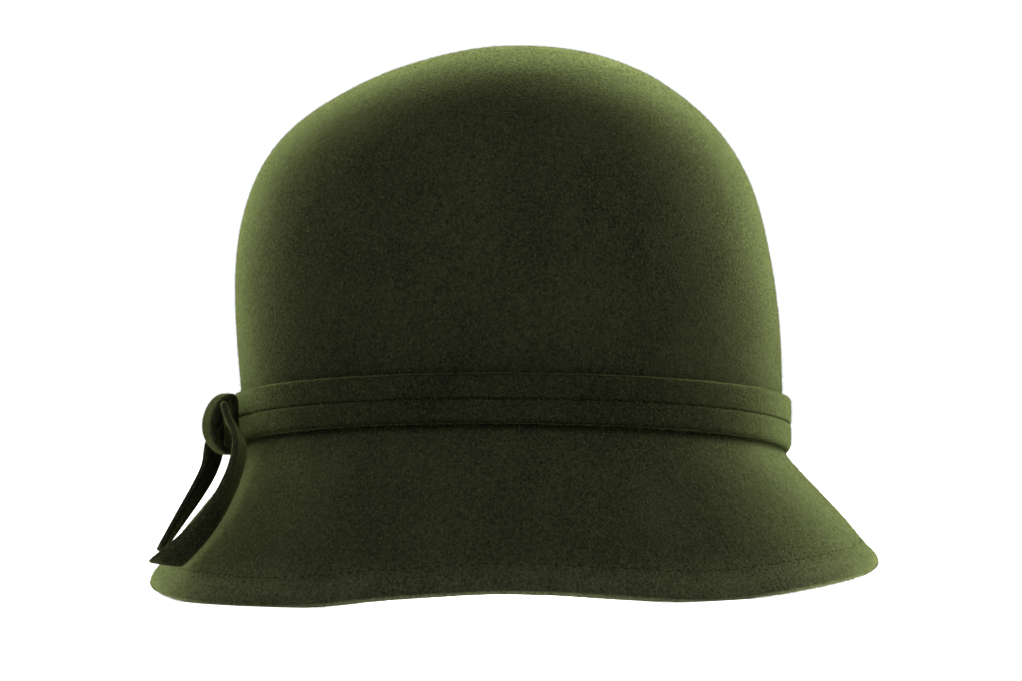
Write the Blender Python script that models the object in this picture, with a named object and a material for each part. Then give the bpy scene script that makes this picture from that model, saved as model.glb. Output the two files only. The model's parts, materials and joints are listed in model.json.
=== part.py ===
"""Felt cloche hat: a deep bell-shaped crown and brim in one blocked felt, a felt band with a stitched
middle, and a felt wrap at the hat's side with two hanging tails.

Metres, +Z up. The hat stands on its brim on the plane Z = 0, its front towards -Y, and the wrap and its
tails on the -X side.
"""

import math
from collections import namedtuple

import bmesh
import bpy
from mathutils import Matrix, Vector

# The head oval that the hat fits, inside the felt, and the felt itself
HEAD_WIDTH = 0.161
HEAD_LENGTH = 0.201
FELT = 0.0025

# Heights: of the break line between crown and brim at the hat's sides, and of the crown above it
BREAK_HEIGHT = 0.0412
CROWN_RISE = 0.1248
CROWN_LEAN = 0.0022
FRONT_TILT = math.radians(5.6)
SIDE_TILT = math.radians(1.5)

# The brim: how far its edge stands out at the widest place, how much the edge waves, and its turned hem
BRIM_REACH = 0.0290
EDGE_WAVE = 0.0055
EDGE_SINK = 0.0004
HEM_WIDTH = 0.008
HEM_THICKNESS = 0.0036
HEM_GROOVE_DEPTH = 0.0005
HEM_GROOVE_WIDTH = 0.0024

# The band round the crown
BAND_WIDTH = 0.0158
BAND_THICKNESS = 0.0025
BAND_SEAT = 0.0004
BAND_CORNER = 0.0007
BAND_GROOVE_DEPTH = 0.0006
BAND_GROOVE_WIDTH = 0.0016

# The wrap that gathers the band's ends, and the two tails
WRAP_AZIMUTH = 195.5
WRAP_TURN = math.radians(8.0)
WRAP_HEIGHT = 0.0186
WRAP_DEPTH = 0.0092
WRAP_WIDTH = 0.0100
WRAP_THICKNESS = 0.0021
WRAP_DROP = 0.0023
TAIL_WIDTH = 0.0100
TAIL_THICKNESS = 0.0020
TAIL_SLANT = math.radians(21.0)
STRIP_CORNER = 0.0006
BAND_SHADE = 0.25

# Distance kept between neighbouring pieces
CLEARANCE = 0.0003

# Counts of faces: around the hat, and along its crown and brim
AROUND = 60
CROWN_ROWS = 19
BRIM_ROWS = 6
EDGE_ROWS = 5
BAND_AROUND = 72
WRAP_AROUND = 28
TAIL_ROWS = 14

# Crown: a row for each section up from the break line. rise is a share of CROWN_RISE, left and right
# are shares of the felt's half width at the break line, and front and back of its half length.
Section = namedtuple("Section", "rise left right front back")
CROWN = (
    Section(0.000, 1.000, 1.000, 1.000, 1.000),
    Section(0.080, 1.000, 1.000, 0.987, 0.996),
    Section(0.150, 1.003, 1.000, 0.977, 0.994),
    Section(0.210, 1.012, 0.999, 0.971, 0.993),
    Section(0.332, 1.024, 0.988, 0.962, 0.990),
    Section(0.488, 1.022, 0.954, 0.943, 0.974),
    Section(0.603, 0.990, 0.913, 0.912, 0.940),
    Section(0.693, 0.940, 0.858, 0.870, 0.890),
    Section(0.758, 0.878, 0.797, 0.822, 0.836),
    Section(0.824, 0.776, 0.712, 0.748, 0.754),
    Section(0.865, 0.684, 0.635, 0.677, 0.679),
    Section(0.914, 0.552, 0.535, 0.567, 0.565),
    Section(0.955, 0.385, 0.398, 0.415, 0.412),
    Section(0.988, 0.195, 0.225, 0.220, 0.220),
    Section(1.000, 0.000, 0.000, 0.000, 0.000),
)

# Brim: a row for each section down from the break line. down is a share of the fall to the edge, and
# the others are shares of the reach there, at the left, right, front and back.
Flare = namedtuple("Flare", "down left right front back")
BRIM = (
    Flare(0.00, 0.000, 0.000, 0.000, 0.000),
    Flare(0.10, 0.055, 0.110, 0.100, 0.085),
    Flare(0.20, 0.130, 0.215, 0.200, 0.175),
    Flare(0.35, 0.325, 0.390, 0.355, 0.325),
    Flare(0.55, 0.575, 0.610, 0.570, 0.550),
    Flare(0.72, 0.780, 0.790, 0.750, 0.730),
    Flare(0.88, 0.940, 0.950, 0.900, 0.890),
    Flare(1.00, 1.000, 1.000, 1.000, 1.000),
)

# Brim edge: a row for each direction, as degrees round from the hat's right (+X) by its back (+Y).
# reach is a share of BRIM_REACH, and height of EDGE_WAVE. The hat stands where the height is least.
Edge = namedtuple("Edge", "azimuth reach height")
BRIM_EDGE = (
    Edge(0.0, 1.000, 1.050),
    Edge(42.0, 0.840, 0.730),
    Edge(72.0, 0.660, 0.200),
    Edge(90.0, 0.610, 0.000),
    Edge(108.0, 0.660, 0.080),
    Edge(138.0, 0.840, 0.500),
    Edge(180.0, 1.000, 0.620),
    Edge(206.0, 0.985, 0.220),
    Edge(222.0, 0.945, 0.000),
    Edge(236.0, 0.880, 0.060),
    Edge(250.0, 0.860, 0.580),
    Edge(269.0, 0.850, 0.880),
    Edge(284.0, 0.860, 0.540),
    Edge(300.0, 0.890, 0.000),
    Edge(316.0, 0.940, 0.340),
    Edge(336.0, 0.990, 0.680),
)

# Wrap: a row for each place round its turn of felt, from the top by the outer side to the bottom, and
# back up along the band. out is a share of the turn's free depth, and up of half its free height.
Turn = namedtuple("Turn", "out up")
WRAP = (
    Turn(0.12, 1.00),
    Turn(0.42, 0.93),
    Turn(0.72, 0.68),
    Turn(0.92, 0.32),
    Turn(1.00, -0.06),
    Turn(0.93, -0.42),
    Turn(0.73, -0.72),
    Turn(0.44, -0.94),
    Turn(0.14, -1.00),
    Turn(0.00, -0.78),
    Turn(0.00, -0.35),
    Turn(0.00, 0.10),
    Turn(0.00, 0.50),
    Turn(0.00, 0.82),
)

# Tails: a row for each station from the wrap to the cut end. azimuth is in degrees, along is a share
# of the way from the break line to the brim's edge (negative above it, in shares of WRAP_HEIGHT), lift
# is the free gap under the strip as a share of TAIL_WIDTH, and turn is how far the strip's nearer edge
# is turned up from the hat, in degrees.
Station = namedtuple("Station", "azimuth along lift turn")
FRONT_TAIL = (
    Station(200.0, -0.47, 0.33, 8.0),
    Station(201.9, -0.31, 0.24, 14.0),
    Station(204.0, -0.13, 0.09, 22.0),
    Station(206.2, 0.01, 0.06, 28.0),
    Station(208.3, 0.16, 0.07, 36.0),
    Station(211.0, 0.34, 0.07, 44.0),
    Station(212.6, 0.54, 0.05, 49.0),
    Station(210.6, 0.70, 0.05, 56.0),
    Station(205.8, 0.835, 0.05, 65.0),
)
BACK_TAIL = (
    Station(192.2, -0.42, 0.30, 8.0),
    Station(189.8, -0.26, 0.24, 22.0),
    Station(188.0, -0.04, 0.18, 34.0),
    Station(187.4, 0.16, 0.17, 34.0),
    Station(188.2, 0.38, 0.08, 27.0),
    Station(189.8, 0.60, 0.02, 17.0),
    Station(191.0, 0.765, 0.01, 10.0),
)

UP = Vector((0.0, 0.0, 1.0))


def clear_scene():
    for thing in list(bpy.data.objects):
        bpy.data.objects.remove(thing, do_unlink=True)


def felt_material(name, colour):
    material = bpy.data.materials.new(name)
    material.use_nodes = True
    shader = material.node_tree.nodes["Principled BSDF"]
    shader.inputs["Base Color"].default_value = (*colour, 1.0)
    shader.inputs["Roughness"].default_value = 0.95
    shader.inputs["Metallic"].default_value = 0.0
    material.diffuse_color = (*colour, 1.0)
    return material


def smooth(keys, values, at):
    """The value at a place among rising keys, on a smooth curve through all of them."""
    last = len(keys) - 1
    at = min(max(at, keys[0]), keys[last])
    i = next(n for n in range(last) if at <= keys[n + 1])

    def slope(n):
        before = max(n - 1, 0)
        after = min(n + 1, last)
        return (values[after] - values[before]) / (keys[after] - keys[before])

    span = keys[i + 1] - keys[i]
    t = (at - keys[i]) / span
    return (
        (2 * t**3 - 3 * t**2 + 1) * values[i]
        + (t**3 - 2 * t**2 + t) * span * slope(i)
        + (3 * t**2 - 2 * t**3) * values[i + 1]
        + (t**3 - t**2) * span * slope(i + 1)
    )


def around_edge(column, azimuth):
    """A column of the brim edge's table at any direction, closed round the hat."""
    turns = (-360.0, 0.0, 360.0)
    keys = [row.azimuth + turn for turn in turns for row in BRIM_EDGE]
    values = [getattr(row, column) for turn in turns for row in BRIM_EDGE]
    return smooth(keys, values, azimuth % 360.0)


def half_sizes():
    """Half the width and half the length of the felt's outer side at the break line."""
    return HEAD_WIDTH / 2 + FELT, HEAD_LENGTH / 2 + FELT


def outward(azimuth):
    """The level direction square to the break line's oval."""
    half_width, half_length = half_sizes()
    angle = math.radians(azimuth)
    return Vector((math.cos(angle) / half_width, math.sin(angle) / half_length, 0.0)).normalized()


def break_point(azimuth):
    half_width, half_length = half_sizes()
    angle = math.radians(azimuth)
    y = half_length * math.sin(angle)
    x = half_width * math.cos(angle)
    return Vector((x, y, BREAK_HEIGHT - math.tan(FRONT_TILT) * y - math.tan(SIDE_TILT) * x))


def edge_point(azimuth):
    """The brim's edge, where it would be if the table it stands on didn't flatten it."""
    foot = break_point(azimuth) + outward(azimuth) * BRIM_REACH * around_edge("reach", azimuth)
    foot.z = EDGE_WAVE * around_edge("height", azimuth) - EDGE_SINK
    return foot


def sided(row, azimuth):
    """A row's two shares at a direction: of the half width, and of the half length."""
    angle = math.radians(azimuth)
    across = row.right if math.cos(angle) > 0 else row.left
    along = row.back if math.sin(angle) > 0 else row.front
    return across, along


def crown_keys():
    """How far along the crown's outline each of its sections lies."""
    half_width, _ = half_sizes()
    keys = [0.0]
    for lower, upper in zip(CROWN, CROWN[1:]):
        rise = (upper.rise - lower.rise) * CROWN_RISE
        narrowing = (upper.right - lower.right) * half_width
        keys.append(keys[-1] + math.hypot(rise, narrowing))
    return keys


def crown_point(azimuth, distance):
    """A point on the crown's outer side, at a distance up along its outline from the break line."""
    keys = crown_keys()
    half_width, half_length = half_sizes()
    angle = math.radians(azimuth)
    # Past the apex the outline goes on down the far side, so the curve is level at the apex.
    rises = [row.rise for row in CROWN] + [CROWN[-2].rise]
    keys = keys + [2 * keys[-1] - keys[-2]]
    shares = [sided(row, azimuth) for row in CROWN]
    across = [share[0] for share in shares] + [-shares[-2][0]]
    along = [share[1] for share in shares] + [-shares[-2][1]]
    rise = smooth(keys, rises, distance)
    tilted = break_point(azimuth).z - BREAK_HEIGHT
    return Vector((
        half_width * smooth(keys, across, distance) * math.cos(angle) + CROWN_LEAN * rise,
        half_length * smooth(keys, along, distance) * math.sin(angle),
        BREAK_HEIGHT + CROWN_RISE * rise + tilted * (1 - rise),
    ))


def brim_point(azimuth, down):
    """A point on the brim's outer side, at a share of the way from the break line to its edge."""
    top = break_point(azimuth)
    foot = edge_point(azimuth)
    angle = math.radians(azimuth)
    downs = [row.down for row in BRIM]
    across = smooth(downs, [sided(row, azimuth)[0] for row in BRIM], down)
    along = smooth(downs, [sided(row, azimuth)[1] for row in BRIM], down)
    share = across * math.cos(angle) ** 2 + along * math.sin(angle) ** 2
    point = top + (foot - top) * share
    point.z = top.z + (foot.z - top.z) * down
    return point


def surface_frame(azimuth, along):
    """A place on the outer side of the band, or of the brim below it, with the direction that it faces."""
    level_out = outward(azimuth)
    proud = CLEARANCE + BAND_THICKNESS
    if along < 0:
        return crown_point(azimuth, -along * WRAP_HEIGHT) + level_out * proud, level_out
    step = 0.05
    slope = brim_point(azimuth, min(along + step, 1.0)) - brim_point(azimuth, max(along - step, 0.0))
    normal = slope.cross(UP.cross(level_out)).normalized()
    below = min(along / BAND_SHADE, 1.0)
    facing = level_out.lerp(normal, below).normalized()
    return brim_point(azimuth, along) + facing * proud * (1.0 - below), facing


def new_object(name, mesh_data, material):
    mesh_data.normal_update()
    mesh = bpy.data.meshes.new(name)
    mesh_data.to_mesh(mesh)
    mesh_data.free()
    mesh.materials.append(material)
    mesh.shade_smooth()
    mesh.set_sharp_from_angle(angle=math.radians(42.0))
    thing = bpy.data.objects.new(name, mesh)
    bpy.context.scene.collection.objects.link(thing)
    return thing


def ring_of(mesh_data, points):
    return [mesh_data.verts.new(point) for point in points]


def bridge(mesh_data, first, second, closed=True):
    """Faces between two rows of the same number of points."""
    count = len(first)
    for i in range(count if closed else count - 1):
        j = (i + 1) % count
        mesh_data.faces.new((first[i], first[j], second[j], second[i]))


def hem_start(azimuth):
    """The share of the brim's way down where its hem begins."""
    slant = (edge_point(azimuth) - break_point(azimuth)).length
    return 1.0 - HEM_WIDTH / slant


def body_rows():
    """The felt's sections from the apex to the brim's edge: for each, a function of the direction that
    gives the outer point, then how far the point is raised, and the felt's thickness there."""
    rows = []
    length = crown_keys()[-1]
    for n in range(1, CROWN_ROWS):
        distance = length * (1.0 - n / CROWN_ROWS)
        rows.append((lambda azimuth, d=distance: crown_point(azimuth, d), 0.0, FELT))
    rows.append((break_point, 0.0, FELT))
    for n in range(1, BRIM_ROWS + 1):
        share = n / (BRIM_ROWS + 1)
        rows.append((lambda azimuth, s=share: brim_point(azimuth, s * hem_start(azimuth)), 0.0, FELT))
    groove = HEM_GROOVE_WIDTH / HEM_WIDTH / 2
    puff = (HEM_THICKNESS - FELT) / 3
    hem = ((-groove, 0.0, FELT), (0.0, -HEM_GROOVE_DEPTH, FELT), (groove, puff, HEM_THICKNESS),
           (0.6, puff, HEM_THICKNESS))
    for share, raised, thickness in hem:
        rows.append((
            lambda azimuth, s=share: brim_point(azimuth, 1.0 - (1.0 - s) * (1.0 - hem_start(azimuth))),
            raised,
            thickness,
        ))
    return rows


def felt_body(material):
    """Crown and brim: two skins a felt's thickness apart, joined by the rounded hem at the brim's edge."""
    azimuths = [360.0 * n / AROUND for n in range(AROUND)]
    sections = body_rows()
    skin = bmesh.new()
    apex = skin.verts.new(crown_point(0.0, crown_keys()[-1]))
    rows = [ring_of(skin, [place(azimuth) for azimuth in azimuths]) for place, _, _ in sections]
    last = ring_of(skin, [edge_point(azimuth) for azimuth in azimuths])
    for n in range(AROUND):
        skin.faces.new((apex, rows[0][n], rows[0][(n + 1) % AROUND]))
    for upper, lower in zip(rows, rows[1:] + [last]):
        bridge(skin, lower, upper)
    bmesh.ops.recalc_face_normals(skin, faces=skin.faces)
    skin.normal_update()
    sign = 1.0 if apex.normal.z > 0 else -1.0
    outer = []
    inner = []
    for row, (_, raised, thickness) in zip(rows, sections):
        outer.append([vert.co + sign * vert.normal * raised for vert in row])
        inner.append([vert.co + sign * vert.normal * (raised - thickness) for vert in row])
    outer_apex = apex.co.copy()
    inner_apex = apex.co - sign * apex.normal * FELT
    tips = []
    for vert, above in zip(last, rows[-1]):
        normal = sign * vert.normal
        run = (vert.co - above.co).normalized()
        tips.append((vert.co.copy(), normal, run))
    skin.free()

    body = bmesh.new()
    top = body.verts.new(outer_apex)
    loops = [ring_of(body, row) for row in outer]
    radius = HEM_THICKNESS / 2
    puff = (HEM_THICKNESS - FELT) / 3
    for n in range(1, EDGE_ROWS + 1):
        angle = math.pi * n / (EDGE_ROWS + 1)
        loops.append(ring_of(body, [
            on_floor(tip + normal * (puff - radius + radius * math.cos(angle))
                     + run * (radius * math.sin(angle) - radius))
            for tip, normal, run in tips
        ]))
    loops += [ring_of(body, row) for row in reversed(inner)]
    bottom = body.verts.new(inner_apex)
    for n in range(AROUND):
        body.faces.new((top, loops[0][n], loops[0][(n + 1) % AROUND]))
        body.faces.new((bottom, loops[-1][(n + 1) % AROUND], loops[-1][n]))
    for upper, lower in zip(loops, loops[1:]):
        bridge(body, lower, upper)
    bmesh.ops.recalc_face_normals(body, faces=body.faces)
    return new_object("felt_body", body, material)


def on_floor(point):
    """The felt gives way where it would reach below the surface that it stands on."""
    point.z = max(point.z, 0.0)
    return point


def band(material):
    """A strip round the crown, just above the break line, pressed in along its middle by its stitches."""
    low = BAND_SEAT
    high = BAND_SEAT + BAND_WIDTH
    middle = (low + high) / 2
    profile = (
        (0.0, low + BAND_CORNER / 2),
        (BAND_THICKNESS * 0.6, low),
        (BAND_THICKNESS, low + 2 * BAND_CORNER),
        (BAND_THICKNESS, middle - BAND_GROOVE_WIDTH / 2),
        (BAND_THICKNESS - BAND_GROOVE_DEPTH, middle),
        (BAND_THICKNESS, middle + BAND_GROOVE_WIDTH / 2),
        (BAND_THICKNESS, high - BAND_CORNER),
        (BAND_THICKNESS - BAND_CORNER, high),
        (0.0, high),
    )
    ring = bmesh.new()
    sections = []
    for n in range(BAND_AROUND):
        azimuth = 360.0 * n / BAND_AROUND
        sections.append(ring_of(ring, [
            crown_point(azimuth, height) + outward(azimuth) * (CLEARANCE + out) for out, height in profile
        ]))
    for first, second in zip(sections, sections[1:] + sections[:1]):
        bridge(ring, first, second)
    bmesh.ops.recalc_face_normals(ring, faces=ring.faces)
    return new_object("band", ring, material)


def strip_section(centre, across, out, width, thickness):
    """The corners of a felt strip's cut, a rectangle with its corners taken off."""
    half_width = width / 2
    half_thickness = thickness / 2
    corner = STRIP_CORNER
    corners = (
        (half_width, half_thickness - corner), (half_width - corner, half_thickness),
        (corner - half_width, half_thickness), (-half_width, half_thickness - corner),
        (-half_width, corner - half_thickness), (corner - half_width, -half_thickness),
        (half_width - corner, -half_thickness), (half_width, corner - half_thickness),
    )
    return [centre + across * a + out * b for a, b in corners]


def wrap_frame():
    """The wrap's place on the band's outer side, with its outward and level directions."""
    square = outward(WRAP_AZIMUTH)
    out = Matrix.Rotation(WRAP_TURN, 3, "Z") @ square
    foot = crown_point(WRAP_AZIMUTH, BAND_SEAT + BAND_WIDTH / 2 - WRAP_DROP)
    stand = BAND_THICKNESS + 2 * CLEARANCE + WRAP_WIDTH / 2 * abs(math.sin(WRAP_TURN))
    return foot + square * stand, out, out.cross(UP)


def wrap_shares(at):
    """The wrap's out and up at a place round its turn, counted in rows, on a smooth closed curve."""
    keys = range(-2, len(WRAP) + 3)
    rows = [WRAP[key % len(WRAP)] for key in keys]
    out = smooth(keys, [row.out for row in rows], at)
    up = smooth(keys, [row.up for row in rows], at)
    return out, up


def felt_wrap(material):
    """A closed turn of felt, standing on the band, that the two tails come out of."""
    foot, out, level = wrap_frame()
    deep = WRAP_DEPTH - WRAP_THICKNESS
    high = (WRAP_HEIGHT - WRAP_THICKNESS) / 2

    def middle(at):
        out_share, up_share = wrap_shares(at % len(WRAP))
        return foot + out * (WRAP_THICKNESS / 2 + deep * out_share) + UP * high * up_share

    near = 0.1
    turn = bmesh.new()
    sections = []
    for n in range(WRAP_AROUND):
        at = len(WRAP) * n / WRAP_AROUND
        run = (middle(at + near) - middle(at - near)).normalized()
        corners = strip_section(middle(at), level, level.cross(run), WRAP_WIDTH, WRAP_THICKNESS)
        sections.append(ring_of(turn, corners))
    for first, second in zip(sections, sections[1:] + sections[:1]):
        bridge(turn, first, second)
    bmesh.ops.recalc_face_normals(turn, faces=turn.faces)
    return new_object("wrap", turn, material)


def tail_station(stations, at):
    """The strip's middle, its width's direction and its face's direction, at a share of its length."""
    keys = [n / (len(stations) - 1) for n in range(len(stations))]
    azimuth, along, lift, turn = (
        smooth(keys, [getattr(row, column) for row in stations], at) for column in Station._fields
    )
    point, normal = surface_frame(azimuth, along)
    turn = math.radians(turn)
    level = outward(azimuth).cross(UP)
    stand = CLEARANCE + lift * TAIL_WIDTH
    stand += (TAIL_WIDTH * abs(math.sin(turn)) + TAIL_THICKNESS * math.cos(turn)) / 2
    across = (level * math.cos(turn) - normal * math.sin(turn)).normalized()
    return point + normal * stand, across


def tail(name, stations, material):
    """A strip of felt hanging along the brim, cut off on a slant."""
    places = [tail_station(stations, n / TAIL_ROWS) for n in range(TAIL_ROWS + 1)]
    strip = bmesh.new()
    sections = []
    for n, (centre, across) in enumerate(places):
        before = places[max(n - 1, 0)][0]
        after = places[min(n + 1, TAIL_ROWS)][0]
        run = (after - before).normalized()
        across = (across - run * across.dot(run)).normalized()
        out = across.cross(run).normalized()
        if n == TAIL_ROWS:
            across = across - run * math.tan(TAIL_SLANT)
        sections.append(ring_of(strip, strip_section(centre, across, out, TAIL_WIDTH, TAIL_THICKNESS)))
    for first, second in zip(sections, sections[1:]):
        bridge(strip, first, second)
    strip.faces.new(sections[0])
    strip.faces.new(sections[-1])
    bmesh.ops.recalc_face_normals(strip, faces=strip.faces)
    return new_object(name, strip, material)


def centre_on_table(things):
    """Puts the origin on the table, under the middle of all the pieces."""
    points = [vert.co for thing in things for vert in thing.data.vertices]
    middle = Vector((
        (min(point.x for point in points) + max(point.x for point in points)) / 2,
        (min(point.y for point in points) + max(point.y for point in points)) / 2,
        0.0,
    ))
    for thing in things:
        for vert in thing.data.vertices:
            vert.co -= middle


def main():
    clear_scene()
    body_felt = felt_material("felt", (0.035, 0.052, 0.012))
    trim_felt = felt_material("trim_felt", (0.037, 0.054, 0.013))
    centre_on_table([
        felt_body(body_felt),
        band(trim_felt),
        felt_wrap(trim_felt),
        tail("tail_front", FRONT_TAIL, trim_felt),
        tail("tail_back", BACK_TAIL, trim_felt),
    ])


main()
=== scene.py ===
"""A felt cloche hat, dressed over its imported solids: brushed felt with a fine nap, a stitched hem, a
stitched felt band, and a felt wrap with two hanging tails.

Metres, +Z up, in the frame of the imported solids. The hat's front faces -Y. The wrap is at its -X side,
which the names of the nap's pieces call left.
"""

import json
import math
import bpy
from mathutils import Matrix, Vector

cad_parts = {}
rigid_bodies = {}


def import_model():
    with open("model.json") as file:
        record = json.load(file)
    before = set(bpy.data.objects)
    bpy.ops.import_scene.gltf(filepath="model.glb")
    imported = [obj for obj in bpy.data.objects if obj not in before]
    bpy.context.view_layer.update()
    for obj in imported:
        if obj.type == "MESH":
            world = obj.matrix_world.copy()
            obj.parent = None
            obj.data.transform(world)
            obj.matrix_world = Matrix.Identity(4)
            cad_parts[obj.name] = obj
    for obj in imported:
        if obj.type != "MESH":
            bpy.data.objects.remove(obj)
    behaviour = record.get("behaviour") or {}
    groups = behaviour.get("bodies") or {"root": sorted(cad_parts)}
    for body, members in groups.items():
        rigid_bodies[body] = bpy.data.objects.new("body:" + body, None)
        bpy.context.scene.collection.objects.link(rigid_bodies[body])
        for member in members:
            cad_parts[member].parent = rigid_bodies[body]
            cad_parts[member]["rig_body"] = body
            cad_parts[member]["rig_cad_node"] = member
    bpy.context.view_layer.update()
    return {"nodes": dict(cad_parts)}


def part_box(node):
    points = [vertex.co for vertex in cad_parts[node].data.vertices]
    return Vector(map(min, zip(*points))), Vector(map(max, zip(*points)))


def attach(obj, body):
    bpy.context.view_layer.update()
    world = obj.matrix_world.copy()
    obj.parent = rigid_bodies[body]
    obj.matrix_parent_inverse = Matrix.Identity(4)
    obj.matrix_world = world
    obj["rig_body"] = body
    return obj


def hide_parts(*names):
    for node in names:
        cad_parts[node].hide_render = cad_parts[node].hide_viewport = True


bl_info = {
    "name": "Felt cloche hat",
    "version": (1, 0, 0),
    "blender": (4, 5, 0),
    "location": "3D Viewport > Sidebar > Cloche Hat",
    "description": "Builds the hat's felt, band, wrap, tails, stitches and nap over its packed solids",
    "category": "Object",
}

import bmesh
import bpy
import numpy as np
from bpy.props import FloatProperty, FloatVectorProperty, PointerProperty
from mathutils import Matrix, Vector
from mathutils.bvhtree import BVHTree

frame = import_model()

BODY = "root"

# Finding places on the hat's outer side
HAT_MIDDLE = Vector((0.0, 0.0035, 0.0))
HOLLOW_MIDDLE_HEIGHT = 0.06
FAR_OUT = 0.3
LINE_STEP = 0.0004
HEM_STEPS = 60
STITCH_LINE_POINTS = 360

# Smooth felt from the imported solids
MERGE_REACH = 0.00001
QUAD_ANGLE = math.radians(40.0)
SHARP_ANGLE = math.radians(50.0)
SMOOTH_LEVELS = 2
BODY_DENT_SIZE = 0.035
BAND_DENT_SIZE = 0.018

# Corners of the cut strips: from one angle in degrees to another, and how firm they stay
BAND_CORNERS = ((-180.0, -30.0, 0.55), (30.0, 42.0, 0.45), (42.0, 180.0, 0.35))
STRIP_CORNERS = ((30.0, 180.0, 0.5),)
RELAX_ROUNDS = 3
RELAX_SHARE = 0.5

# The hem's inner edge
HEM_LINE_POINTS = 90
HEM_SOFTENED = 0.0045
HEM_SMOOTHING = 0.5
HEM_SMOOTHING_ROUNDS = 3

# Painted light and shade of the crown and the brim: a span of heights or of facings, and the share of the
# full colour
# Painted shadow on the brim under the band's lower edge
UNDER_BAND_SHADOW_SPAN = (-0.0033, -0.0009)
UNDER_BAND_SHADOW = 0.28
HIDDEN_SPAN = (-0.006, 0.0)
# Painted shade on the crown just above the band, fading upwards
CROWN_FOOT_SPAN = (0.0, 0.055)
CROWN_FOOT_SHADE = 0.78
# Painted light low on the brim, towards the floor
HEM_SPAN = (0.004, 0.017)
HEM_LIGHT = 1.7
# Painted light, stronger still, where the hem's underside faces down
RIM_FACING = (0.0, -0.7)
RIM_LIGHT = 6.5
# Painted shade where the crown's top faces straight up
TOP_FACING = (0.92, 1.0)
TOP_SHADE = 0.70

# Painted shade of the band, and painted highlight on the edges of the wrap and the tails
BAND_EDGE_SHARE = 0.6
# Painted shade at the band's lower edge
BAND_LOW_SPAN = (-0.0006, 0.0012)
BAND_LOW_SHADE = 0.35
# Painted shade at the band's upper edge
BAND_HIGH_SPAN = (-0.0008, 0.0004)
BAND_HIGH_SHADE = 0.6
# Painted shade in the band's stitched groove
GROOVE_SPAN = (0.0001, 0.0007)
GROOVE_SHADE = 0.55
# Painted highlight along the sharp edges of the wrap and the tails
EDGE_POINTINESS = (0.508, 0.565)
EDGE_HIGHLIGHT = 3.8

# Patterns of the felt and the thread
MOTTLE = {"Scale": 38.0, "Detail": 3.0, "Roughness": 0.55}
CLUMPS = {"Scale": 1200.0, "Detail": 2.0, "Roughness": 0.6}
FIBRES = {"Scale": 2600.0, "Detail": 2.0, "Roughness": 0.7, "Distortion": 1.5}
TWIST = {"Scale": 2600.0, "Detail": 2.0}
FIBRES_IN_GRAIN = 0.42
MOTTLE_IN_TONE = 0.18
FELT_RAMP = (0.37, 0.64)
FELT_BUMP = {"Strength": 0.8, "Distance": 0.0003}
SHEEN_GRAIN = (0.40, 0.60)
SHEEN_VARIES = (0.7, 1.25)
THREAD_RAMP = (0.35, 0.7)
THREAD_SHADES = (0.6, 1.5)
FELT_ROUGHNESS = 0.95
FIBRE_ROUGHNESS = 0.9
FLOOR_ROUGHNESS = 0.9

# Stitches
STITCH_SIDES = 6
STITCH_CUTS = 4
STITCH_NARROWING = 0.45
STITCH_DIP = 1.1
HEM_STITCH_SINK = 0.00006
BAND_STITCH_SINK = 0.0

# Nap
SQUARE_MM_IN_SQUARE_M = 1e6
SMALLEST_AREA = 1e-12
NAP_SLANT = (20.0, 80.0)
NAP_LENGTHS = (0.35, 1.0)
HEM_EDGE_FACING = -0.1
FIBRE_STRENGTHS = {"fibre_dark": 0.45, "fibre": 1.0, "fibre_pale": 1.4}

# Stage
CAMERA_PLACE = (0.0003, -1.5, 0.0755)
CAMERA_TURN = (math.pi / 2, math.radians(1.02), 0.0)
SENSOR_WIDTH = 36.0
CLIP_START = 0.05
CLIP_END = 600.0
FLOOR_SIZE = 400.0
LIT_PLACE = (0.0, 0.0, 0.08)

# Lights: name, place, target, width and power in watts
LIGHTS = (
    ("left_back", (-0.95, 1.12, 0.45), LIT_PLACE, 1.0, 65.0),
    ("right_back", (1.08, 0.95, 0.45), LIT_PLACE, 1.0, 111.0),
    ("top", (0.0, 0.14, 1.4), LIT_PLACE, 1.2, 15.0),
    ("under_hat", (0.0, -0.035, 0.06), (0.0, -0.04, 0.0), 0.07, 0.4),
)


class HatFelt(bpy.types.PropertyGroup):
    """Colours and surface of the felt."""

    shade: FloatVectorProperty(
        name="Shade", description="The felt's colour between its fibres", subtype="COLOR", size=3,
        min=0.0, max=1.0, default=(0.0034, 0.0035, 0.0026),
    )
    light: FloatVectorProperty(
        name="Light", description="The colour of the felt's raised fibres", subtype="COLOR", size=3,
        min=0.0, max=1.0, default=(0.0190, 0.0206, 0.0099),
    )
    sheen: FloatVectorProperty(
        name="Sheen", description="The colour of the light along the nap", subtype="COLOR", size=3,
        min=0.0, max=1.0, default=(0.46, 0.56, 0.19),
    )
    sheen_weight: FloatProperty(
        name="Sheen weight", description="How strongly the nap catches the light", min=0.0, max=1.0,
        default=0.62,
    )
    sheen_roughness: FloatProperty(
        name="Sheen roughness", description="How widely the nap spreads the light", min=0.0, max=1.0,
        default=0.26,
    )
    nap_density: FloatProperty(
        name="Nap density", description="Loose fibres on each square millimetre of felt", min=0.0,
        max=4.0, default=1.8,
    )
    nap_length: FloatProperty(
        name="Nap length", description="Length of the longest loose fibres", subtype="DISTANCE",
        unit="LENGTH", min=0.0, max=0.003, default=0.0010, precision=5,
    )
    nap_thickness: FloatProperty(
        name="Nap thickness", description="Thickness of a loose fibre at its root", subtype="DISTANCE",
        unit="LENGTH", min=0.0, max=0.0005, default=0.00005, precision=6,
    )
    fibre: FloatVectorProperty(
        name="Fibre", description="The colour of the loose fibres", subtype="COLOR", size=3, min=0.0,
        max=1.0, default=(0.062, 0.076, 0.027),
    )
    dents: FloatProperty(
        name="Dents", description="How far the blocked felt strays from an even surface",
        subtype="DISTANCE", unit="LENGTH", min=0.0, max=0.002, default=0.0005, precision=5,
    )


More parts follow.
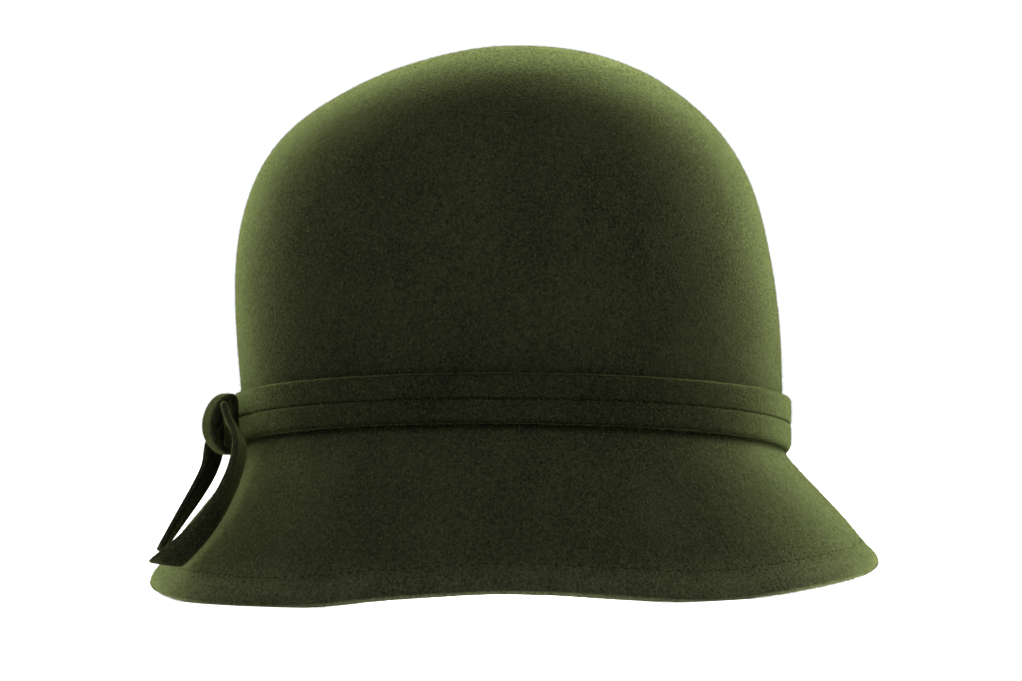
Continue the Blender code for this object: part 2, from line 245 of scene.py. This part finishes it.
class HatStitching(bpy.types.PropertyGroup):
    """The thread of the hem and the band."""

    pitch: FloatProperty(
        name="Pitch", description="From one stitch to the next", subtype="DISTANCE", unit="LENGTH",
        min=0.001, max=0.01, default=0.0034, precision=5,
    )
    length: FloatProperty(
        name="Length", description="Length of one stitch", subtype="DISTANCE", unit="LENGTH",
        min=0.0005, max=0.01, default=0.0027, precision=5,
    )
    thickness: FloatProperty(
        name="Thickness", description="Thickness of the thread", subtype="DISTANCE", unit="LENGTH",
        min=0.0001, max=0.001, default=0.00036, precision=5,
    )
    hem_width: FloatProperty(
        name="Hem width", description="From the brim's edge to its stitches", subtype="DISTANCE",
        unit="LENGTH", min=0.002, max=0.02, default=0.0082, precision=5,
    )
    colour: FloatVectorProperty(
        name="Thread", description="Colour of the thread", subtype="COLOR", size=3, min=0.0, max=1.0,
        default=(0.0036, 0.0042, 0.0022),
    )


class HatStage(bpy.types.PropertyGroup):
    """Floor, lights and camera."""

    floor: FloatVectorProperty(
        name="Floor", description="Colour of the floor", subtype="COLOR", size=3, min=0.0, max=1.0,
        default=(0.95, 0.95, 0.95),
    )
    surround: FloatProperty(
        name="Surround", description="Brightness of the white surround", min=0.0, default=1.1,
    )
    lens: FloatProperty(
        name="Lens", description="Focal length of the camera", subtype="DISTANCE_CAMERA", min=10.0,
        default=172.0,
    )


def select_only(*things):
    """Deselects everything, then selects these objects, the first of them active."""
    if bpy.context.object and bpy.context.object.mode != "OBJECT":
        bpy.ops.object.mode_set(mode="OBJECT")
    bpy.ops.object.select_all(action="DESELECT")
    for thing in things:
        thing.select_set(True)
    bpy.context.view_layer.objects.active = things[0]


def start_from_node(node, name):
    """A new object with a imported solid's faces, merged and turned back into quads."""
    select_only(frame["nodes"][node])
    bpy.ops.object.duplicate()
    piece = bpy.context.object
    piece.name = name
    piece.data.name = name
    bpy.ops.object.parent_clear(type="CLEAR_KEEP_TRANSFORM")
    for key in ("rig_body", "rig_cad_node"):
        del piece[key]
    bpy.ops.object.mode_set(mode="EDIT")
    bpy.ops.mesh.select_all(action="SELECT")
    bpy.ops.mesh.remove_doubles(threshold=MERGE_REACH)
    bpy.ops.mesh.tris_convert_to_quads(face_threshold=QUAD_ANGLE, shape_threshold=QUAD_ANGLE)
    bpy.ops.object.mode_set(mode="OBJECT")
    piece.data.materials.clear()
    return piece


def keep_corners(piece, corners):
    """Keeps a strip's corners firm when its faces are subdivided: a crease for each range of angles."""
    mesh = bmesh.new()
    mesh.from_mesh(piece.data)
    layer = mesh.edges.layers.float.get("crease_edge") or mesh.edges.layers.float.new("crease_edge")
    for edge in mesh.edges:
        bend = math.degrees(edge.calc_face_angle_signed())
        for lowest, highest, crease in corners:
            if lowest < bend < highest:
                edge[layer] = crease
    mesh.to_mesh(piece.data)
    mesh.free()


def straightest_pair(vert, near):
    """The two neighbours of a point that lie most nearly in one line through it."""
    pairs = [(near[i], near[j]) for i in range(len(near)) for j in range(i)]

    def folded(pair):
        return (pair[0] - vert.co).normalized().dot((pair[1] - vert.co).normalized())

    return min(pairs, key=folded)


def relax_strip(piece):
    """Evens out a strip's bends along its length, its two ends kept."""
    mesh = bmesh.new()
    mesh.from_mesh(piece.data)
    for _ in range(RELAX_ROUNDS):
        moved = {}
        for vert in mesh.verts:
            near = [edge.other_vert(vert).co for edge in vert.link_edges]
            if len(near) == 4:
                first, second = straightest_pair(vert, near)
                moved[vert] = vert.co.lerp((first + second) / 2, RELAX_SHARE)
        for vert, place in moved.items():
            vert.co = place
    mesh.to_mesh(piece.data)
    mesh.free()


def subdivide_smoothly(piece):
    """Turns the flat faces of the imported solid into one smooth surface."""
    modifier = piece.modifiers.new("Smooth", "SUBSURF")
    modifier.levels = SMOOTH_LEVELS
    modifier.render_levels = SMOOTH_LEVELS
    select_only(piece)
    bpy.ops.object.modifier_apply(modifier=modifier.name)


def uneven(piece, strength, size):
    """Moves the surface in and out a little, as blocked felt is never quite even."""
    cloud = bpy.data.textures.new(piece.name + "_dents", "CLOUDS")
    cloud.noise_scale = size
    cloud.noise_depth = 1
    modifier = piece.modifiers.new("Dents", "DISPLACE")
    modifier.texture = cloud
    modifier.texture_coords = "LOCAL"
    modifier.strength = strength
    modifier.mid_level = 0.5
    select_only(piece)
    bpy.ops.object.modifier_apply(modifier=modifier.name)


def keep_on_floor(piece):
    """The felt lies flat where it touches the floor."""
    for vert in piece.data.vertices:
        vert.co.z = max(vert.co.z, 0.0)


def finish_piece(piece, material, node=None):
    """Smooth shading, the material, and the piece's place in the frame."""
    piece.data.materials.clear()
    piece.data.materials.append(bpy.data.materials[material])
    select_only(piece)
    bpy.ops.object.shade_smooth_by_angle(angle=SHARP_ANGLE)
    if node:
        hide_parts(node)
    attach(piece, BODY)


def node_at(tree, kind, **settings):
    """A new shader node. A setting goes to the input of its name, or else to the node itself."""
    node = tree.nodes.new(kind)
    for key, value in settings.items():
        if key in node.inputs:
            node.inputs[key].default_value = value
        else:
            setattr(node, key, value)
    return node


def band_planes():
    """The tilted planes along the band's lower edge, its middle and its upper edge: height over X and Y."""
    corners = np.array([vert.co for vert in frame["nodes"]["band"].data.vertices])
    level = np.column_stack((corners[:, :2], np.ones(len(corners))))

    def plane_through(chosen):
        return np.linalg.lstsq(level[chosen], corners[chosen, 2], rcond=None)[0]

    middle = plane_through(np.ones(len(corners), bool))
    away = corners[:, 2] - level @ middle
    limit = BAND_EDGE_SHARE * np.abs(away).max()
    return plane_through(away < -limit), middle, plane_through(away > limit)


def above_plane(tree, place, plane):
    """How far a place is above a tilted plane."""
    along_x, along_y, height = (float(part) for part in plane)
    across = node_at(tree, "ShaderNodeVectorMath", operation="DOT_PRODUCT")
    across.inputs[1].default_value = (-along_x, -along_y, 1.0)
    tree.links.new(place, across.inputs[0])
    above = node_at(tree, "ShaderNodeMath", operation="SUBTRACT")
    above.inputs[1].default_value = height
    tree.links.new(across.outputs["Value"], above.inputs[0])
    return above.outputs[0]


def between(tree, source, span, first, last):
    """A value that goes smoothly from first to last as its source crosses a span."""
    node = tree.nodes.new("ShaderNodeMapRange")
    node.interpolation_type = "SMOOTHSTEP"
    for key, value in (("From Min", span[0]), ("From Max", span[1]), ("To Min", first), ("To Max", last)):
        node.inputs[key].default_value = value
    tree.links.new(source, node.inputs["Value"])
    return node.outputs["Result"]


def combined(tree, operation, first, *others):
    """Values put together one after another, by a product, a maximum or another operation."""
    for other in others:
        node = node_at(tree, "ShaderNodeMath", operation=operation)
        tree.links.new(first, node.inputs[0])
        if isinstance(other, float):
            node.inputs[1].default_value = other
        else:
            tree.links.new(other, node.inputs[1])
        first = node.outputs[0]
    return first


def height_of(tree, vector):
    """The upward part of a place or of a direction."""
    parts = node_at(tree, "ShaderNodeSeparateXYZ")
    tree.links.new(vector, parts.inputs[0])
    return parts.outputs["Z"]


def body_painted_light_and_shade(tree, place):
    """The crown's and the brim's painted light and shade: a painted shadow under the band, painted shade
    just above the band and on the flat top, and painted light low on the brim and on the hem's underside.
    """
    lower, _, upper = band_planes()
    over = above_plane(tree, place, upper)
    facing_up = height_of(tree, node_at(tree, "ShaderNodeTexCoord").outputs["Normal"])
    # A painted shadow on the brim under the band
    shadow_under_band = between(tree, above_plane(tree, place, lower), UNDER_BAND_SHADOW_SPAN, 1.0, UNDER_BAND_SHADOW)
    shown = between(tree, over, HIDDEN_SPAN, 0.0, 1.0)
    # Painted shade on the crown just above the band
    painted_foot_shade = between(tree, over, CROWN_FOOT_SPAN, CROWN_FOOT_SHADE, 1.0)
    # Painted shade where the felt faces straight up
    top = between(tree, facing_up, TOP_FACING, 1.0, TOP_SHADE)
    # Painted light low on the brim, strongest where the hem faces down
    painted_rim_light = between(tree, facing_up, RIM_FACING, HEM_LIGHT, RIM_LIGHT)
    hem = between(tree, height_of(tree, place), HEM_SPAN, HEM_LIGHT, 1.0)
    tree.links.new(painted_rim_light, hem.node.inputs["To Min"])
    crown = combined(tree, "MULTIPLY", shown, painted_foot_shade, top)
    return combined(tree, "MULTIPLY", combined(tree, "MAXIMUM", shadow_under_band, crown), hem)


def band_painted_shade(tree, place):
    """The band's painted shade: darker in its stitched groove and at its lower and upper edges."""
    lower, middle, upper = band_planes()
    low = between(tree, above_plane(tree, place, lower), BAND_LOW_SPAN, BAND_LOW_SHADE, 1.0)
    high = between(tree, above_plane(tree, place, upper), BAND_HIGH_SPAN, 1.0, BAND_HIGH_SHADE)
    away = node_at(tree, "ShaderNodeMath", operation="ABSOLUTE")
    tree.links.new(above_plane(tree, place, middle), away.inputs[0])
    groove = between(tree, away.outputs[0], GROOVE_SPAN, GROOVE_SHADE, 1.0)
    return combined(tree, "MULTIPLY", low, high, groove)


def edge_painted_highlight(tree, place):
    """A cut strip's painted highlight: its sharp edges are painted lighter."""
    pointed = tree.nodes.new("ShaderNodeNewGeometry").outputs["Pointiness"]
    return between(tree, pointed, EDGE_POINTINESS, 1.0, EDGE_HIGHLIGHT)


def new_material(name):
    """A material with a shader to work on: the material, its nodes and the shader."""
    material = bpy.data.materials.new(name)
    material.use_nodes = True
    tree = material.node_tree
    return material, tree, tree.nodes["Principled BSDF"]


def noise(tree, place, pattern):
    """A noise pattern at a place."""
    node = node_at(tree, "ShaderNodeTexNoise", **pattern)
    tree.links.new(place, node.inputs["Vector"])
    return node.outputs["Fac"]


def mixed(tree, first, second, share):
    """A value between two others, by the second one's share."""
    node = node_at(tree, "ShaderNodeMix", data_type="FLOAT")
    node.inputs[0].default_value = share
    tree.links.new(first, node.inputs[2])
    tree.links.new(second, node.inputs[3])
    return node.outputs[0]


def scaled(colour, share):
    """A darker or lighter colour of the same hue."""
    return [share * part for part in colour]


def shade_to_light(tree, source, places, colours):
    """A colour that runs from the first to the second as its source goes from one place to the other."""
    node = node_at(tree, "ShaderNodeValToRGB")
    for element, place, colour in zip(node.color_ramp.elements, places, colours):
        element.position = place
        element.color = (*colour, 1.0)
    tree.links.new(source, node.inputs["Fac"])
    return node.outputs["Color"]


def without_gloss(shader, roughness):
    """Wool and cotton have no gloss of their own."""
    shader.inputs["Roughness"].default_value = roughness
    shader.inputs["Specular IOR Level"].default_value = 0.0


def shine_along_nap(shader, weight):
    """The light that fibres give back along their sides."""
    felt = bpy.context.scene.hat_felt
    shader.inputs["Sheen Weight"].default_value = weight
    shader.inputs["Sheen Roughness"].default_value = felt.sheen_roughness
    shader.inputs["Sheen Tint"].default_value = (*felt.sheen, 1.0)


def felt_look(name, share, sheen_share, painted_light_of):
    """Brushed felt: mottled tone, fine clumps of fibre, light flecks, and a sheen along the nap, all under
    the piece's painted light and shade.
    """
    felt = bpy.context.scene.hat_felt
    _, tree, shader = new_material(name)
    link = tree.links.new
    place = node_at(tree, "ShaderNodeTexCoord").outputs["Object"]
    grain = mixed(tree, noise(tree, place, CLUMPS), noise(tree, place, FIBRES), FIBRES_IN_GRAIN)
    tone = mixed(tree, grain, noise(tree, place, MOTTLE), MOTTLE_IN_TONE)
    colours = (scaled(felt.shade, share), scaled(felt.light, share))
    # The piece's painted light and shade scales the felt's colour
    painted_light_share = painted_light_of(tree, place)
    toned = node_at(tree, "ShaderNodeVectorMath", operation="SCALE")
    link(shade_to_light(tree, tone, FELT_RAMP, colours), toned.inputs[0])
    link(painted_light_share, toned.inputs["Scale"])
    link(toned.outputs["Vector"], shader.inputs["Base Color"])
    without_gloss(shader, FELT_ROUGHNESS)
    sheen_weight = sheen_share * felt.sheen_weight
    shine_along_nap(shader, sheen_weight)
    flecks = between(tree, grain, SHEEN_GRAIN, *SHEEN_VARIES)
    # Painted shade dims the sheen as well
    sheen_under_painted_shade = combined(tree, "MINIMUM", painted_light_share, 1.0)
    link(combined(tree, "MULTIPLY", flecks, sheen_weight, sheen_under_painted_shade), shader.inputs["Sheen Weight"])
    bump = node_at(tree, "ShaderNodeBump", **FELT_BUMP)
    link(grain, bump.inputs["Height"])
    link(bump.outputs["Normal"], shader.inputs["Normal"])


def thread_look(name, colour):
    """Twisted cotton thread."""
    _, tree, shader = new_material(name)
    twist = noise(tree, node_at(tree, "ShaderNodeTexCoord").outputs["Object"], TWIST)
    colours = [scaled(colour, share) for share in THREAD_SHADES]
    tree.links.new(shade_to_light(tree, twist, THREAD_RAMP, colours), shader.inputs["Base Color"])
    without_gloss(shader, FIBRE_ROUGHNESS)


def fibre_look(name, colour):
    """Loose wool fibres, which shine along their sides."""
    _, _, shader = new_material(name)
    shader.inputs["Base Color"].default_value = (*colour, 1.0)
    without_gloss(shader, FIBRE_ROUGHNESS)
    shine_along_nap(shader, bpy.context.scene.hat_felt.sheen_weight)


def surface_tree(piece):
    """A piece's faces, ready to be met by a ray."""
    places = [vert.co for vert in piece.data.vertices]
    return BVHTree.FromPolygons(places, [face.vertices for face in piece.data.polygons])


def all_round(count):
    """Even directions all round the hat."""
    return [2 * math.pi * n / count for n in range(count)]


def profile_at(tree, azimuth, heights):
    """Where a piece's outer side lies at each height, seen from one direction: points and normals."""
    direction = Vector((math.cos(azimuth), math.sin(azimuth), 0.0))
    found = []
    for height in heights:
        start = HAT_MIDDLE + direction * FAR_OUT
        start.z = height
        point, normal, _, _ = tree.ray_cast(start, -direction, FAR_OUT)
        if point is not None:
            found.append((point, normal))
    return found


def hem_place(tree, azimuth, width):
    """The place on the brim's outer side that is a hem's width up from its edge."""
    heights = [LINE_STEP * (n + 0.5) for n in range(HEM_STEPS)]
    profile = profile_at(tree, azimuth, heights)
    reach = [(point - HAT_MIDDLE).xy.length for point, _ in profile]
    edge = reach.index(max(reach))
    walked = 0.0
    for (lower, _), (upper, normal) in zip(profile[edge:], profile[edge + 1:]):
        walked += (upper - lower).length
        if walked >= width:
            return upper, normal
    raise RuntimeError("The brim is narrower than its hem")


def band_place(tree, azimuth, low, high):
    """The place on the band's outer side in the middle of its height."""
    steps = int((high - low) / LINE_STEP)
    profile = profile_at(tree, azimuth, [low + LINE_STEP * (n + 0.5) for n in range(steps)])
    bottom = min(point.z for point, _ in profile)
    top = max(point.z for point, _ in profile)
    return min(profile, key=lambda place: abs(place[0].z - (bottom + top) / 2))


def soften_hem(piece, width):
    """Presses the hem's inner edge flatter, as thick felt hardly shows it."""
    tree = surface_tree(piece)
    line = [hem_place(tree, azimuth, width)[0] for azimuth in all_round(HEM_LINE_POINTS)]
    select_only(piece)
    bpy.ops.object.mode_set(mode="EDIT")
    bpy.ops.mesh.select_all(action="DESELECT")
    bpy.ops.object.mode_set(mode="OBJECT")
    for vert in piece.data.vertices:
        vert.select = min((vert.co - point).length for point in line) < HEM_SOFTENED
    bpy.ops.object.mode_set(mode="EDIT")
    bpy.ops.mesh.vertices_smooth(factor=HEM_SMOOTHING, repeat=HEM_SMOOTHING_ROUNDS)
    bpy.ops.object.mode_set(mode="OBJECT")


def stitch_places(line, pitch):
    """Even places along a closed line of (point, normal), each with the line's direction there."""
    points = [point for point, _ in line]
    lengths = [(points[(n + 1) % len(points)] - point).length for n, point in enumerate(points)]
    count = round(sum(lengths) / pitch)
    spacing = sum(lengths) / count
    places = []
    walked = 0.0
    for n, length in enumerate(lengths):
        following = (n + 1) % len(points)
        run = (points[following] - points[n]).normalized()
        while len(places) < count and len(places) * spacing < walked + length:
            share = (len(places) * spacing - walked) / length
            normal = line[n][1].lerp(line[following][1], share).normalized()
            places.append((points[n].lerp(points[following], share), normal, run))
        walked += length
    return places


def one_stitch(name, length, thickness):
    """One stitch of thread along X, its ends narrowed and bent down into the felt below it."""
    bpy.ops.object.select_all(action="DESELECT")
    bpy.ops.mesh.primitive_cylinder_add(
        vertices=STITCH_SIDES, radius=thickness / 2, depth=length, end_fill_type="TRIFAN",
        rotation=(0.0, math.pi / 2, 0.0),
    )
    stitch = bpy.context.object
    stitch.name = name
    bpy.ops.object.transform_apply(location=True, rotation=True, scale=True)
    mesh = bmesh.new()
    mesh.from_mesh(stitch.data)
    along = [edge for edge in mesh.edges if abs(edge.verts[0].co.x - edge.verts[1].co.x) > length / 2]
    bmesh.ops.subdivide_edges(mesh, edges=along, cuts=STITCH_CUTS, use_grid_fill=False)
    for vert in mesh.verts:
        share = abs(vert.co.x) / (length / 2)
        narrowed = 1.0 - STITCH_NARROWING * share**4
        vert.co.y *= narrowed
        vert.co.z = vert.co.z * narrowed - STITCH_DIP * thickness * share**3
    mesh.to_mesh(stitch.data)
    mesh.free()
    return stitch


def sew(name, line, sink):
    """A row of stitches along a closed line, in one piece."""
    stitching = bpy.context.scene.hat_stitching
    first = one_stitch(name, stitching.length, stitching.thickness)
    stitches = []
    for point, normal, run in stitch_places(line, stitching.pitch):
        copy = first.copy()
        copy.data = first.data.copy()
        bpy.context.scene.collection.objects.link(copy)
        normal = (normal - run * normal.dot(run)).normalized()
        turn = Matrix((run, normal.cross(run), normal)).transposed().to_4x4()
        copy.data.transform(Matrix.Translation(point - normal * sink) @ turn)
        stitches.append(copy)
    bpy.data.objects.remove(first)
    select_only(*stitches)
    bpy.ops.object.join()
    thread = bpy.context.object
    thread.name = name
    finish_piece(thread, "thread")


def triangle_corners(mesh):
    """The first, second and third corners of all a mesh's triangles."""
    mesh.calc_loop_triangles()
    places = np.zeros(len(mesh.vertices) * 3)
    mesh.vertices.foreach_get("co", places)
    corners = np.zeros(len(mesh.loop_triangles) * 3, np.int32)
    mesh.loop_triangles.foreach_get("vertices", corners)
    return places.reshape(-1, 3)[corners.reshape(-1, 3)].transpose(1, 0, 2)


def needle_shape():
    """A pointed fibre along Z, one long and one thick: its points, and the corners of its long sides."""
    bpy.ops.object.select_all(action="DESELECT")
    bpy.ops.mesh.primitive_cone_add(vertices=3, radius1=0.5, depth=1.0)
    needle = bpy.context.object
    shape = np.array([vert.co for vert in needle.data.vertices])
    tip = int(shape[:, 2].argmax())
    sides = np.concatenate([face.vertices for face in needle.data.polygons if tip in face.vertices])
    bpy.data.objects.remove(needle)
    return shape, sides


def one_long(vectors):
    """Vectors in rows, each made one long."""
    return vectors / np.linalg.norm(vectors, axis=1)[:, None]


def nap_on(name, piece, area_share, seed, wanted=None):
    """Loose fibres over a piece's faces, each a thin needle rooted in the felt, at random slants."""
    felt = bpy.context.scene.hat_felt
    random = np.random.default_rng(seed)
    a, b, c = triangle_corners(piece.data)
    square = np.cross(b - a, c - a)
    doubled = np.linalg.norm(square, axis=1)
    normals = square / np.maximum(doubled, SMALLEST_AREA)[:, None]
    areas = doubled / 2
    if wanted is not None:
        areas = areas * wanted((a + b + c) / 3, normals)
    count = int(areas.sum() * SQUARE_MM_IN_SQUARE_M * felt.nap_density * area_share)
    picked = random.choice(len(areas), size=count, p=areas / areas.sum())
    first, second = random.random((2, count, 1))
    beyond = first + second > 1
    first = np.where(beyond, 1 - first, first)
    second = np.where(beyond, 1 - second, second)
    normal = normals[picked]
    roots = a[picked] + first * (b - a)[picked] + second * (c - a)[picked]
    level = random.normal(size=(count, 3))
    level = one_long(level - (level * normal).sum(1)[:, None] * normal)
    slant = np.radians(random.uniform(*NAP_SLANT, (count, 1)))
    along = level * np.cos(slant) + normal * np.sin(slant)
    length = felt.nap_length * random.uniform(*NAP_LENGTHS, (count, 1))
    across = one_long(np.cross(along, normal))
    third = np.cross(along, across)
    shape, sides = needle_shape()
    thickness = felt.nap_thickness
    points = (
        roots[:, None]
        - normal[:, None] * thickness
        + across[:, None] * shape[None, :, :1] * thickness
        + third[:, None] * shape[None, :, 1:2] * thickness
        + along[:, None] * (shape[None, :, 2:] + 0.5) * length[:, None]
    ).reshape(-1, 3)
    points[:, 2] = np.maximum(points[:, 2], 0.0)
    faces = (sides[None] + len(shape) * np.arange(count)[:, None]).reshape(-1, 3)
    nap_mesh = bpy.data.meshes.new(name)
    nap_mesh.from_pydata(points, [], faces)
    nap = bpy.data.objects.new(name, nap_mesh)
    bpy.context.scene.collection.objects.link(nap)
    for look in FIBRE_STRENGTHS:
        nap_mesh.materials.append(bpy.data.materials[look])
    shades = random.integers(0, len(FIBRE_STRENGTHS), count).repeat(len(sides) // 3)
    nap_mesh.polygons.foreach_set("material_index", shades.astype(np.int32))
    nap_mesh.update()
    return nap


def facing_out(centres, normals):
    """The outer side of the hat, its edge included, and not the side towards the head."""
    away = centres - np.array((HAT_MIDDLE.x, HAT_MIDDLE.y, HOLLOW_MIDDLE_HEIGHT))
    return (away * normals).sum(1) > 0


def front(centres):
    return centres[:, 1] < HAT_MIDDLE.y


def back(centres):
    return ~front(centres)


def left(centres):
    return centres[:, 0] < HAT_MIDDLE.x


def right(centres):
    return ~left(centres)


def part_of(zone, *sides):
    """The faces of a zone of the felt that lie on all these sides of the hat."""

    def wanted(centres, normals):
        chosen = zone(centres, normals)
        for side in sides:
            chosen = chosen & side(centres)
        return chosen

    return wanted


class HAT_OT_materials(bpy.types.Operator):
    """Makes the materials of the felt and of the thread"""

    bl_idname = "hat.materials"
    bl_label = "Materials"

    def execute(self, context):
        # Each felt's share of the hat felt's colour and of its sheen. The wrap and the tails are the same
        # felt made darker and less shiny as painted shade; the band is a darker share.
        for name, share, sheen_share, painted_light_of in (
            ("hat_felt", 1.0, 1.0, body_painted_light_and_shade),
            ("band_felt", 0.68, 1.0, band_painted_shade),
            ("wrap_felt", 0.62, 0.4, edge_painted_highlight),
            ("tail_felt", 0.75, 0.45, edge_painted_highlight),
        ):
            felt_look(name, share, sheen_share, painted_light_of)
        thread_look("thread", context.scene.hat_stitching.colour)
        for name, strength in FIBRE_STRENGTHS.items():
            fibre_look(name, scaled(context.scene.hat_felt.fibre, strength))
        return {"FINISHED"}


class HAT_OT_felt(bpy.types.Operator):
    """Crown and brim in one blocked felt, with the brim's turned hem"""

    bl_idname = "hat.felt"
    bl_label = "Crown and brim"

    def execute(self, context):
        piece = start_from_node("felt_body", "crown_and_brim")
        soften_hem(piece, context.scene.hat_stitching.hem_width)
        subdivide_smoothly(piece)
        uneven(piece, context.scene.hat_felt.dents, BODY_DENT_SIZE)
        keep_on_floor(piece)
        finish_piece(piece, "hat_felt", "felt_body")
        return {"FINISHED"}


class HAT_OT_band(bpy.types.Operator):
    """The felt band, grooved along its middle"""

    bl_idname = "hat.band"
    bl_label = "Band"

    def execute(self, context):
        piece = start_from_node("band", "felt_band")
        keep_corners(piece, BAND_CORNERS)
        subdivide_smoothly(piece)
        uneven(piece, context.scene.hat_felt.dents / 2, BAND_DENT_SIZE)
        finish_piece(piece, "band_felt", "band")
        return {"FINISHED"}


class HAT_OT_wrap(bpy.types.Operator):
    """The turn of felt that gathers the band's ends"""

    bl_idname = "hat.wrap"
    bl_label = "Wrap"

    def execute(self, context):
        piece = start_from_node("wrap", "felt_wrap")
        keep_corners(piece, STRIP_CORNERS)
        subdivide_smoothly(piece)
        finish_piece(piece, "wrap_felt", "wrap")
        return {"FINISHED"}


class HAT_OT_tails(bpy.types.Operator):
    """The two hanging tails"""

    bl_idname = "hat.tails"
    bl_label = "Tails"

    def execute(self, context):
        for node, name in (("tail_front", "felt_tail_front"), ("tail_back", "felt_tail_back")):
            piece = start_from_node(node, name)
            relax_strip(piece)
            keep_corners(piece, STRIP_CORNERS)
            subdivide_smoothly(piece)
            finish_piece(piece, "tail_felt", node)
        return {"FINISHED"}


class HAT_OT_stitches(bpy.types.Operator):
    """The stitches of the brim's hem and along the middle of the band"""

    bl_idname = "hat.stitches"
    bl_label = "Stitches"

    def execute(self, context):
        directions = all_round(STITCH_LINE_POINTS)
        brim = surface_tree(bpy.data.objects["crown_and_brim"])
        width = context.scene.hat_stitching.hem_width
        sew("hem_stitches", [hem_place(brim, azimuth, width) for azimuth in directions], HEM_STITCH_SINK)
        band = surface_tree(bpy.data.objects["felt_band"])
        low, high = (corner.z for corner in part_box("band"))
        line = [band_place(band, azimuth, low, high) for azimuth in directions]
        sew("band_stitches", line, BAND_STITCH_SINK)
        return {"FINISHED"}


class HAT_OT_nap(bpy.types.Operator):
    """Loose fibres that stand out of the felt"""

    bl_idname = "hat.nap"
    bl_label = "Nap"

    def execute(self, context):
        brim_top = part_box("band")[0].z

        def crown(centres, normals):
            return facing_out(centres, normals) & (centres[:, 2] > brim_top)

        def brim(centres, normals):
            return facing_out(centres, normals) & (centres[:, 2] <= brim_top)

        def hem_edge(centres, normals):
            low = centres[:, 2] < HEM_SPAN[1]
            return brim(centres, normals) & low & (normals[:, 2] < HEM_EDGE_FACING)

        for name, base, area_share, seed, wanted in (
            ("nap_crown_front_left", "crown_and_brim", 1.0, 11, part_of(crown, front, left)),
            ("nap_crown_front_right", "crown_and_brim", 1.0, 12, part_of(crown, front, right)),
            ("nap_crown_back_left", "crown_and_brim", 1.0, 20, part_of(crown, back, left)),
            ("nap_crown_back_right", "crown_and_brim", 1.0, 21, part_of(crown, back, right)),
            ("nap_brim_left", "crown_and_brim", 1.0, 13, part_of(brim, left)),
            ("nap_brim_right", "crown_and_brim", 1.0, 18, part_of(brim, right)),
            ("nap_hem", "crown_and_brim", 5.0, 19, hem_edge),
            ("nap_band", "felt_band", 1.0, 14, facing_out),
            ("nap_wrap", "felt_wrap", 1.5, 15, None),
            ("nap_tail_front", "felt_tail_front", 1.2, 16, None),
            ("nap_tail_back", "felt_tail_back", 1.2, 17, None),
        ):
            nap = nap_on(name, bpy.data.objects[base], area_share, seed, wanted)
            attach(nap, BODY)
        return {"FINISHED"}


def point_at(thing, target):
    """Turns a light towards its target."""
    direction = Vector(target) - thing.location
    thing.rotation_euler = direction.to_track_quat("-Z", "Y").to_euler()


class HAT_OT_stage(bpy.types.Operator):
    """Floor, white surround, soft lights and the camera"""

    bl_idname = "hat.stage"
    bl_label = "Stage"

    def execute(self, context):
        stage = context.scene.hat_stage
        bpy.ops.object.camera_add(location=CAMERA_PLACE, rotation=CAMERA_TURN)
        camera = context.object
        camera.name = "photo_camera"
        camera.data.sensor_width = SENSOR_WIDTH
        camera.data.lens = stage.lens
        camera.data.clip_start = CLIP_START
        camera.data.clip_end = CLIP_END
        context.scene.camera = camera

        bpy.ops.mesh.primitive_plane_add(size=FLOOR_SIZE, location=(0.0, 0.0, 0.0))
        floor = context.object
        floor.name = "floor"
        look, _, shader = new_material("floor")
        shader.inputs["Base Color"].default_value = (*stage.floor, 1.0)
        shader.inputs["Roughness"].default_value = FLOOR_ROUGHNESS
        floor.data.materials.append(look)

        world = bpy.data.worlds.new("surround")
        world.use_nodes = True
        background = world.node_tree.nodes["Background"]
        background.inputs["Color"].default_value = (1.0, 1.0, 1.0, 1.0)
        background.inputs["Strength"].default_value = stage.surround
        context.scene.world = world

        for name, place, target, size, power in LIGHTS:
            bpy.ops.object.light_add(type="AREA", location=place)
            light = context.object
            light.name = name
            light.data.shape = "DISK"
            light.data.size = size
            light.data.energy = power
            point_at(light, target)

        context.scene.view_settings.view_transform = "Standard"
        return {"FINISHED"}


class HAT_PT_panel(bpy.types.Panel):
    """The hat's parts and its settings"""

    bl_idname = "HAT_PT_panel"
    bl_label = "Cloche hat"
    bl_space_type = "VIEW_3D"
    bl_region_type = "UI"
    bl_category = "Cloche Hat"

    def draw(self, context):
        layout = self.layout
        for group in GROUPS:
            settings = getattr(context.scene, group)
            box = layout.box()
            for key in settings.__annotations__:
                box.prop(settings, key)
        for operator in OPERATORS:
            layout.operator(operator.bl_idname)


GROUPS = {"hat_felt": HatFelt, "hat_stitching": HatStitching, "hat_stage": HatStage}
OPERATORS = (
    HAT_OT_materials, HAT_OT_felt, HAT_OT_band, HAT_OT_wrap, HAT_OT_tails, HAT_OT_stitches, HAT_OT_nap,
    HAT_OT_stage,
)


def register():
    for cls in (*GROUPS.values(), *OPERATORS, HAT_PT_panel):
        bpy.utils.register_class(cls)
    for name, group in GROUPS.items():
        setattr(bpy.types.Scene, name, PointerProperty(type=group))


def unregister():
    for name in GROUPS:
        delattr(bpy.types.Scene, name)
    for cls in (HAT_PT_panel, *reversed(OPERATORS), *GROUPS.values()):
        bpy.utils.unregister_class(cls)


def main():
    register()
    bpy.ops.hat.materials()
    bpy.ops.hat.felt()
    bpy.ops.hat.band()
    bpy.ops.hat.wrap()
    bpy.ops.hat.tails()
    bpy.ops.hat.stitches()
    bpy.ops.hat.nap()
    bpy.ops.hat.stage()


if __name__ == "__main__":
    main()
